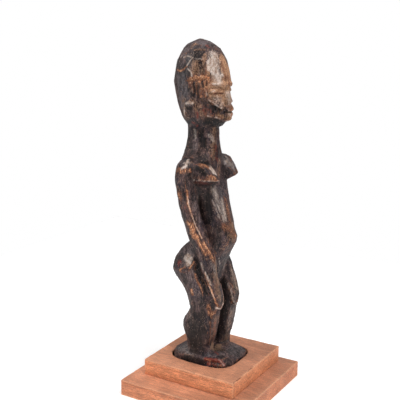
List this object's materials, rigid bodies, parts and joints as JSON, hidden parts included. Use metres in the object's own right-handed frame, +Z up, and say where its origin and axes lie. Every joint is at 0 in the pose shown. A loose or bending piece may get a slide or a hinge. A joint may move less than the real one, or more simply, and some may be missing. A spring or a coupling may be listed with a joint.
{
  "type": "lobi bateba figure",
  "caption": "Carved standing woman in dark waxed wood, hands on her thighs, her foot slab let into a stand of stacked reddish boards.",
  "frame": {"origin": "middle of the lower board's underside", "axes": "+Z up, -Y the way the figure faces, +X to the figure's left"},
  "size_m": [0.148, 0.146, 0.3837],
  "materials": {
    "carved_wood": "waxed, rubbed through on the ridges",
    "upper_board_wood": "satin",
    "lower_board_wood": "satin"
  },
  "bodies": {
    "root": {"figure": "carved_wood", "upper_board": "upper_board_wood", "lower_board": "lower_board_wood"}
  },
  "joints": []
}
